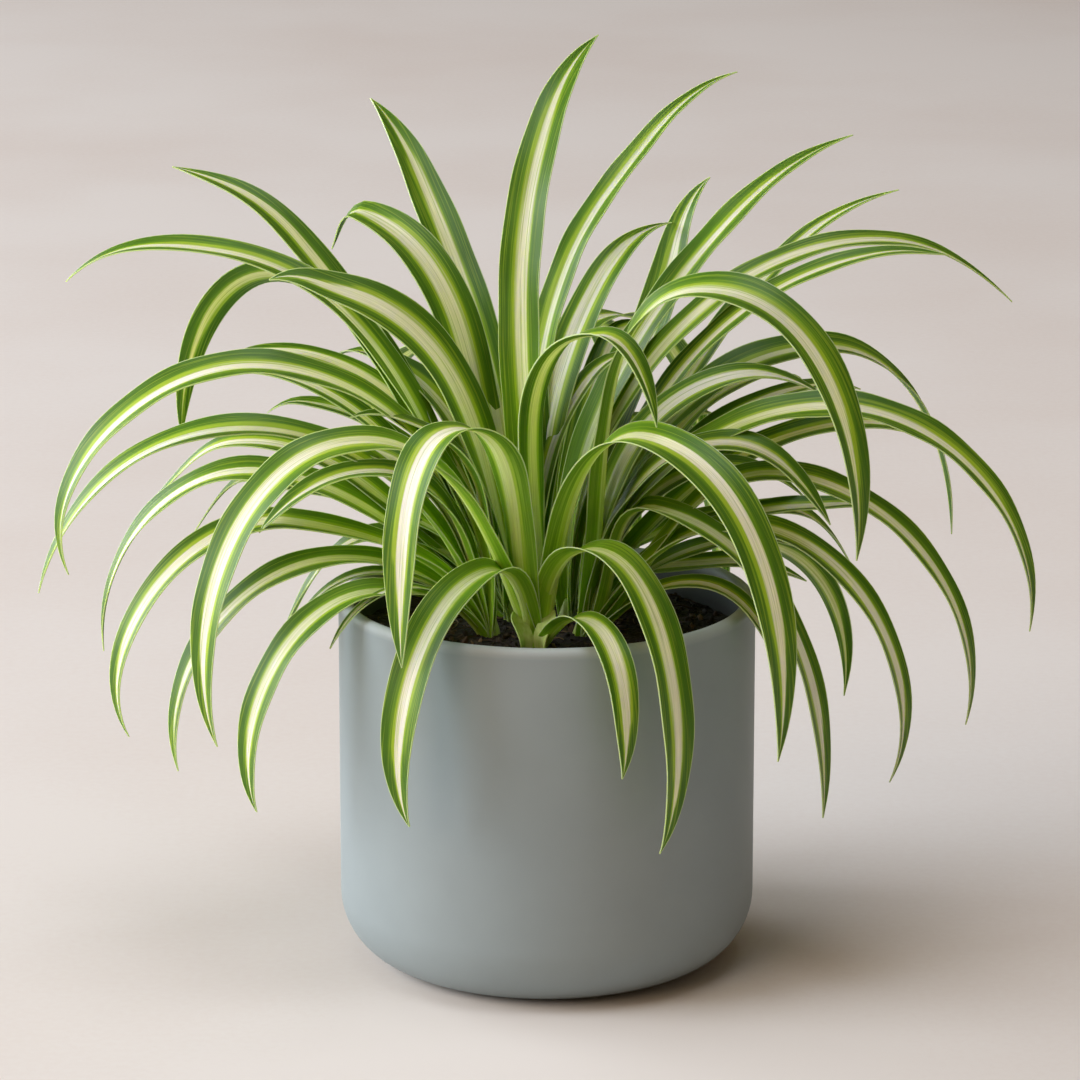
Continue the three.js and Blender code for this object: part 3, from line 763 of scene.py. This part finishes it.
def leaf_line(shape):
    """The midrib: points, slopes and distances from the root, with the root sunk in the crown."""
    lowness = (TALLEST - shape["crest"][1]) / (TALLEST - ROOT_HEIGHT)
    root = [ROOT_SPREAD * min(1, lowness), ROOT_HEIGHT]
    rising = cubic(root, shape["crest"], shape["rise"], shape["level"], USUAL["bow"])
    falling = cubic(shape["crest"], shape["tip"], shape["level"], shape["fall"], shape["bow"])
    place = np.vstack([rising[0], falling[0][1:]])
    slope = np.vstack([rising[1], falling[1][1:]])
    steps = np.linalg.norm(np.diff(place, axis=0), axis=1)
    return place, slope, np.concatenate([[0], np.cumsum(steps)])


def width_share(t, point):
    """Width along the leaf: a narrow base, a broad middle and a long point."""
    opening = BASE_SHARE + (1 - BASE_SHARE) * np.minimum(1, t / OPEN_AT) ** OPENING_POWER
    pointing = 1 - (np.maximum(0, t - POINT_FROM) / (1 - POINT_FROM)) ** point
    return opening * pointing


def turned(vectors, axes, angles):
    """Each vector turned about its own unit axis."""
    cos, sin = np.cos(angles)[:, None], np.sin(angles)[:, None]
    dots = np.sum(vectors * axes, axis=1, keepdims=True)
    return vectors * cos + np.cross(axes, vectors) * sin + axes * dots * (1 - cos)


def build_leaf(name, shape, at, node, settings, materials, random):
    """Lays a grid along the midrib, folds it into a channel, waves its edges and gives it its thickness."""
    place, slope, distance = leaf_line(shape)
    length = distance[-1]
    deselect_all()
    cells = max(ALONG_LEAST, round(length / ALONG_CELL))
    bpy.ops.mesh.primitive_grid_add(x_subdivisions=cells, y_subdivisions=ACROSS_CELLS, size=1)
    blade = new_piece(name)
    mesh = blade.data
    grid = np.empty(len(mesh.vertices) * 3)
    mesh.vertices.foreach_get("co", grid)
    across = np.clip(grid[1::3] * 2, -1, 1)

    # The foot of each leaf goes on a little way down into the soil.
    run = (grid[0::3] + 0.5) * (length + SUNK) - SUNK
    t = np.clip(run / length, 0, 1)
    spot = np.stack([np.interp(run, distance, place[:, k]) for k in (0, 1)], axis=1)
    spot += np.minimum(0, run)[:, None] * slope[0] / np.linalg.norm(slope[0])
    heading = np.stack([np.interp(run, distance, slope[:, k]) for k in (0, 1)], axis=1)
    heading /= np.linalg.norm(heading, axis=1, keepdims=True)
    azimuth = math.radians(shape["azimuth"])
    outward = np.array([math.cos(azimuth), math.sin(azimuth)])
    middle = np.column_stack([np.outer(spot[:, 0], outward) + at, spot[:, 1]])
    forward = np.column_stack([np.outer(heading[:, 0], outward), heading[:, 1]])
    side = np.tile([-outward[1], outward[0], 0.0], (len(t), 1))
    side = turned(side, forward, math.radians(shape["turn"]) * np.minimum(1, t / TURNED_AT))
    up = np.cross(forward, side)

    half = np.maximum(TIP_WIDTH, shape["wide"] * width_share(t, shape["point"])) / 2
    fold = np.radians(FOLD_OF_BLADE + (FOLD_AT_BASE - FOLD_OF_BLADE) * np.maximum(0, 1 - t / UNFOLDED_AT))
    channel = half * np.sin(fold) * (np.abs(across) ** CHANNEL_POWER - 0.5)
    phase = random.random(2) * math.tau
    pitch = WAVE_LEAST + WAVE_RANGE * random.random()
    ripple = np.sin(math.tau * run / pitch + np.where(across > 0, phase[0], phase[1]))
    wave = settings.wave / MM * ripple * across**2 * np.sin(math.pi * t)
    blade_points = middle + side * (across * half * np.cos(fold))[:, None] + up * (channel + wave)[:, None]
    mesh.vertices.foreach_set("co", (blade_points * MM).ravel())

    attributes = {"across": across, "along": t, "span": across * half, "half_width": half, "run": run}
    for label, values in attributes.items():
        set_attribute(mesh, label, values)
    set_attribute(mesh, "tone", np.full(len(t), random.random()))
    for material in materials:
        mesh.materials.append(material)
    solidify = blade.modifiers.new("thickness", "SOLIDIFY")
    solidify.thickness = settings.thickness
    solidify.offset = 0
    solidify.material_offset = 1
    bpy.ops.object.modifier_apply(modifier=solidify.name)
    smooth(blade, LEAF_CREASE)
    hand_over(blade, "leaf", node)


def lehmer(seed):
    """Seeded random numbers from 0 to 1, by Lehmer's rule, as the part's source draws them."""
    state = seed
    while True:
        state = state * 16807 % (2**31 - 1)
        yield state / (2**31 - 1)


def far_leaves():
    """The leaves of the shoot at the back, spread in tiers."""
    random = lehmer(FAR_SEED)
    leaves = []
    for tier in FAR_TIERS:
        for i in range(tier["count"]):
            shifts = [(next(random) - 0.5) * 2 * FAR_SPREAD for _ in range(4)]
            azimuth = tier["first"] + (tier["last"] - tier["first"]) * i / (tier["count"] - 1)
            crest = [tier["crest"][0] + shifts[0], tier["crest"][1] + shifts[1]]
            tip = [tier["tip"][0] + shifts[2], tier["tip"][1] + shifts[3]]
            leaves.append(leaf(azimuth, crest, tip, wide=tier["wide"]))
    return leaves


def build_leaves(settings):
    """Makes every leaf of every shoot, and the young leaves in front."""
    materials = [leaf_face("leaf_upper", settings, True), leaf_face("leaf_under", settings, False)]
    random = np.random.RandomState(settings.seed)
    for node, at in SHOOTS.items():
        for number, shape in enumerate(LEAVES.get(node) or far_leaves(), 1):
            name = node.replace("shoot", "leaf") + "_" + str(number)
            build_leaf(name, shape, at, node, settings, materials, random)
    young = [leaf_sheath(settings), materials[1]]
    for number, shape in enumerate(YOUNG_LEAVES, 1):
        build_leaf("leaf_young_" + str(number), shape, shape["at"], "shoot_front", settings, young, random)


def build_crowns(settings):
    """Shapes a short stalk for each shoot, with the wrapped bases of its leaves as folds round it."""
    material = leaf_sheath(settings)
    heights, widths = zip(*CROWN_LEVELS)
    for node, (x, y) in SHOOTS.items():
        deselect_all()
        bpy.ops.mesh.primitive_cylinder_add(vertices=CROWN_SIDES, radius=1, depth=1)
        crown = new_piece(node.replace("shoot", "crown"))
        edit_mode("EDGE")
        select_parts(crown, wanted_edges=upright)
        bpy.ops.mesh.subdivide(number_cuts=CROWN_CUTS)
        bpy.ops.object.mode_set(mode="OBJECT")
        for vertex in crown.data.vertices:
            height = CROWN_FOOT + (CROWN_TOP - CROWN_FOOT) * (vertex.co.z + 0.5)
            angle = math.atan2(vertex.co.y, vertex.co.x)
            folds = 1 + CROWN_FOLD_DEPTH * math.sin(CROWN_FOLDS * angle + height * CROWN_FOLD_TWIST)
            radius = CROWN_RADIUS * float(np.interp(height, heights, widths)) * folds
            vertex.co = Vector((x + radius * math.cos(angle), y + radius * math.sin(angle), height)) * MM
        smooth(crown, CROWN_CREASE, material)
        hand_over(crown, "leaf", node)


def build_stage(settings):
    """A plain floor, a dim warm room, four large soft lights and the camera of the photograph."""
    deselect_all()
    bpy.ops.mesh.primitive_plane_add(size=settings.floor_size)
    floor = new_piece("studio_floor")
    floor.data.materials.append(plaster_floor(settings))

    world = bpy.data.worlds.new("pale_room")
    world.use_nodes = True
    background = world.node_tree.nodes["Background"]
    background.inputs["Color"].default_value = tuple(settings.room)
    background.inputs["Strength"].default_value = settings.room_light
    bpy.context.scene.world = world
    bpy.context.scene.view_settings.view_transform = "Standard"

    for name, azimuth, elevation, power, colour in settings.lights():
        azimuth, elevation = math.radians(azimuth), math.radians(elevation)
        light = bpy.data.lights.new(name, "AREA")
        light.shape = "DISK"
        light.size = settings.light_size
        light.energy = power
        light.color = tuple(colour)[:3]
        lamp = new_object(name, light)
        level = math.cos(elevation)
        towards = Vector((-math.sin(azimuth) * level, -math.cos(azimuth) * level, math.sin(elevation)))
        lamp.location = towards * settings.light_distance + Vector((0, 0, LIT_HEIGHT))
        lamp.rotation_euler = towards.to_track_quat("Z", "Y").to_euler()

    camera_data = bpy.data.cameras.new("photo_camera")
    camera_data.sensor_width = 36
    camera_data.lens = settings.lens
    camera_data.clip_end = VIEW_END
    camera = new_object("photo_camera", camera_data)
    tilt = settings.elevation
    aim_point = Vector((settings.aim_x, 0, settings.aim_z))
    back = Vector((0, -math.cos(tilt), math.sin(tilt)))
    camera.location = aim_point + back * settings.distance
    camera.rotation_euler = (math.pi / 2 - tilt, 0, 0)
    bpy.context.scene.camera = camera


def new_property(kind, name, description, default, **more):
    """One of Blender's properties with its name, its description and its default."""
    return kind(name=name, description=description, default=default, **more)


count_property = partial(new_property, bpy.props.IntProperty)
number_property = partial(new_property, bpy.props.FloatProperty)
length_property = partial(number_property, unit="LENGTH")


def colour_property(name, description, hex_colour):
    kind = bpy.props.FloatVectorProperty
    return new_property(kind, name, description, linear(hex_colour), size=4, min=0, max=1, subtype="COLOR")


class PotSettings(bpy.types.PropertyGroup):
    """Sizes and glaze of the pot."""

    wall: length_property("Wall", "Thickness of the wall", 6.5 * MM)
    floor: length_property("Floor", "Thickness of the floor", 9 * MM)
    corner: length_property("Corner", "Rounding of the outer bottom edge", 30 * MM)
    inner_corner: length_property("Inner corner", "Rounding of the inner bottom edge", 24 * MM)
    sides: count_property("Sides", "Steps round the pot", 160)
    corner_steps: count_property("Corner steps", "Steps of the bottom roundings", 18)
    lip_steps: count_property("Lip steps", "Steps of each half of the lip", 7)
    glaze_light: colour_property("Glaze, light", "Glaze of even thickness", "96a1a3")
    glaze_dark: colour_property("Glaze, dark", "Clouds where the glaze ran thicker", "8e999b")
    # This colour also paints a highlight along the lip.
    glaze_thin: colour_property("Glaze, thin", "Lip, where the glaze ran thin", "bcc4c3")


class SoilSettings(bpy.types.PropertyGroup):
    """Fineness, bits and browns of the soil."""

    rings: count_property("Rings", "Rings across the soil's top", 64)
    spokes: count_property("Spokes", "Steps round the soil", 180)
    crumbs: count_property("Crumbs", "Loose crumbs of bark", 900)
    fibres: count_property("Fibres", "Loose coir fibres", 150)
    seed: count_property("Seed", "Start of the random numbers", 11)
    soil_dark: colour_property("Soil, dark", "Damp peat", "120c08")
    soil_light: colour_property("Soil, light", "Drier crumbs", "21160e")


class LeafSettings(bpy.types.PropertyGroup):
    """Thickness, wave and colours of the leaves."""

    thickness: length_property("Thickness", "Thickness of a blade", 0.5 * MM)
    wave: length_property("Wave", "Height of the waves along the edges", 0.5 * MM)
    band_narrow: number_property("Narrowest band", "Half width of the cream band, as a share", 0.32)
    band_wide: number_property("Widest band", "Half width of the cream band, as a share", 0.5)
    seed: count_property("Seed", "Start of the random numbers", 5)
    cream: colour_property("Cream", "Middle of the upper face", "edebd4")
    lime: colour_property("Lime", "Streaks beside the band", "a2b934")
    green: colour_property("Green", "Inner margin", "6b921b")
    deep_green: colour_property("Deep green", "Outer margin", "4a7215")
    edge: colour_property("Edge", "Clear line along the edge", "c6d9a2")
    young: colour_property("Young", "Tint of the lower part of each leaf", "aee026")
    young_band: colour_property("Young band", "Middle of the lower part of each leaf", "dbe998")
    under_band: colour_property("Underside band", "Middle of the underside", "e6eeb0")
    under_lime: colour_property("Underside lime", "Streaks of the underside", "aac24a")
    under_green: colour_property("Underside green", "Inner margins of the underside", "6b971c")
    under_deep_green: colour_property("Underside deep green", "Margins of the underside", "4c7812")
    sheath: colour_property("Sheath", "Young tissue at the base", "ccd68a")


class StageSettings(bpy.types.PropertyGroup):
    """Camera, light and floor."""

    distance: length_property("Distance", "From the camera to the point it looks at", 2.305)
    elevation: number_property(
        "Elevation", "Height of the camera above the horizon", math.radians(14.78), subtype="ANGLE"
    )
    lens: number_property("Lens", "Focal length on a 36 mm sensor", 178.5, unit="CAMERA")
    aim_x: length_property("Aim, sideways", "The point that the camera looks at", -3.0 * MM)
    aim_z: length_property("Aim, height", "The point that the camera looks at", 185.8 * MM)
    floor_size: length_property("Floor", "Length and width of the floor", 60.0)
    light_distance: length_property("Distance of the lights", "From each light to the plant", 5.0)
    light_size: length_property("Size of the lights", "Width of each round light", 3.4)
    room_light: number_property("Room light", "Strength of the even light of the room", 0.13)
    room: colour_property("Room", "Colour of the room", "ffdab0")
    light_colour: colour_property("Light", "Colour of the lights", "f0f6ff")
    floor_light: colour_property("Floor, light", "Plaster", "ddd7d1")
    floor_dark: colour_property("Floor, dark", "Clouds in the plaster", "d6ccc4")
    key_power: number_property("Key light", "Power of the large light from the left, in watts", 250.0)
    side_power: number_property("Side light", "Power of the low light from behind the left, in watts", 175.0)
    top_power: number_property("Top light", "Power of the light from above, in watts", 125.0)
    fill_power: number_property("Fill light", "Power of the weak light beside the camera, in watts", 58.0)

    def lights(self):
        """Name, degrees round to the left and up, power and colour of each light."""
        return [
            ("key_light", 80, 22, self.key_power, self.light_colour),
            ("side_light", 124, 12, self.side_power, self.light_colour),
            ("top_light", 0, 84, self.top_power, self.light_colour),
            ("fill_light", 40, 35, self.fill_power, self.room),
        ]


# The groups of settings, by their names in the scene
GROUPS = {
    "spider_plant_pot": PotSettings,
    "spider_plant_soil": SoilSettings,
    "spider_plant_leaf": LeafSettings,
    "spider_plant_stage": StageSettings,
}


class SPIDER_PLANT_OT_stage(bpy.types.Operator):
    """Make the floor, the lights and the camera"""

    bl_idname = "spider_plant.make_stage"
    bl_label = "Make Stage"

    def execute(self, context):
        build_stage(context.scene.spider_plant_stage)
        return {"FINISHED"}


class SPIDER_PLANT_OT_pot(bpy.types.Operator):
    """Make the glazed pot"""

    bl_idname = "spider_plant.make_pot"
    bl_label = "Make Pot"

    def execute(self, context):
        build_pot(context.scene.spider_plant_pot)
        return {"FINISHED"}


class SPIDER_PLANT_OT_soil(bpy.types.Operator):
    """Make the soil that fills the pot"""

    bl_idname = "spider_plant.make_soil"
    bl_label = "Make Soil"

    def execute(self, context):
        build_soil(context.scene.spider_plant_soil)
        return {"FINISHED"}


class SPIDER_PLANT_OT_soil_bits(bpy.types.Operator):
    """Make the crumbs and fibres that lie on the soil"""

    bl_idname = "spider_plant.make_soil_bits"
    bl_label = "Make Crumbs and Fibres"

    def execute(self, context):
        build_soil_bits(context.scene.spider_plant_soil)
        return {"FINISHED"}


class SPIDER_PLANT_OT_crowns(bpy.types.Operator):
    """Make the short stalks that the leaves grow from"""

    bl_idname = "spider_plant.make_crowns"
    bl_label = "Make Crowns"

    def execute(self, context):
        build_crowns(context.scene.spider_plant_leaf)
        return {"FINISHED"}


class SPIDER_PLANT_OT_leaves(bpy.types.Operator):
    """Make all the leaves"""

    bl_idname = "spider_plant.make_leaves"
    bl_label = "Make Leaves"

    def execute(self, context):
        build_leaves(context.scene.spider_plant_leaf)
        return {"FINISHED"}


# In this order the panel lists what can be made, and main makes it.
OPERATORS = [
    SPIDER_PLANT_OT_stage,
    SPIDER_PLANT_OT_pot,
    SPIDER_PLANT_OT_soil,
    SPIDER_PLANT_OT_soil_bits,
    SPIDER_PLANT_OT_crowns,
    SPIDER_PLANT_OT_leaves,
]


class SPIDER_PLANT_PT_panel(bpy.types.Panel):
    """Lists the pieces of the potted spider plant and their settings"""

    bl_idname = "SPIDER_PLANT_PT_panel"
    bl_label = "Potted Spider Plant"
    bl_space_type = "VIEW_3D"
    bl_region_type = "UI"
    bl_category = "Spider Plant"

    def draw(self, context):
        for operator in OPERATORS:
            self.layout.operator(operator.bl_idname)
        for name, group in GROUPS.items():
            box = self.layout.box()
            for setting in group.__annotations__:
                box.prop(getattr(context.scene, name), setting)


def register():
    for group in [*GROUPS.values(), *OPERATORS, SPIDER_PLANT_PT_panel]:
        bpy.utils.register_class(group)
    for name, group in GROUPS.items():
        setattr(bpy.types.Scene, name, bpy.props.PointerProperty(type=group))


def unregister():
    for name in GROUPS:
        delattr(bpy.types.Scene, name)
    for group in [SPIDER_PLANT_PT_panel, *reversed(OPERATORS), *reversed(GROUPS.values())]:
        bpy.utils.unregister_class(group)


def main():
    register()
    bpy.ops.spider_plant.make_stage()
    bpy.ops.spider_plant.make_pot()
    bpy.ops.spider_plant.make_soil()
    bpy.ops.spider_plant.make_soil_bits()
    bpy.ops.spider_plant.make_crowns()
    bpy.ops.spider_plant.make_leaves()


if __name__ == "__main__":
    main()
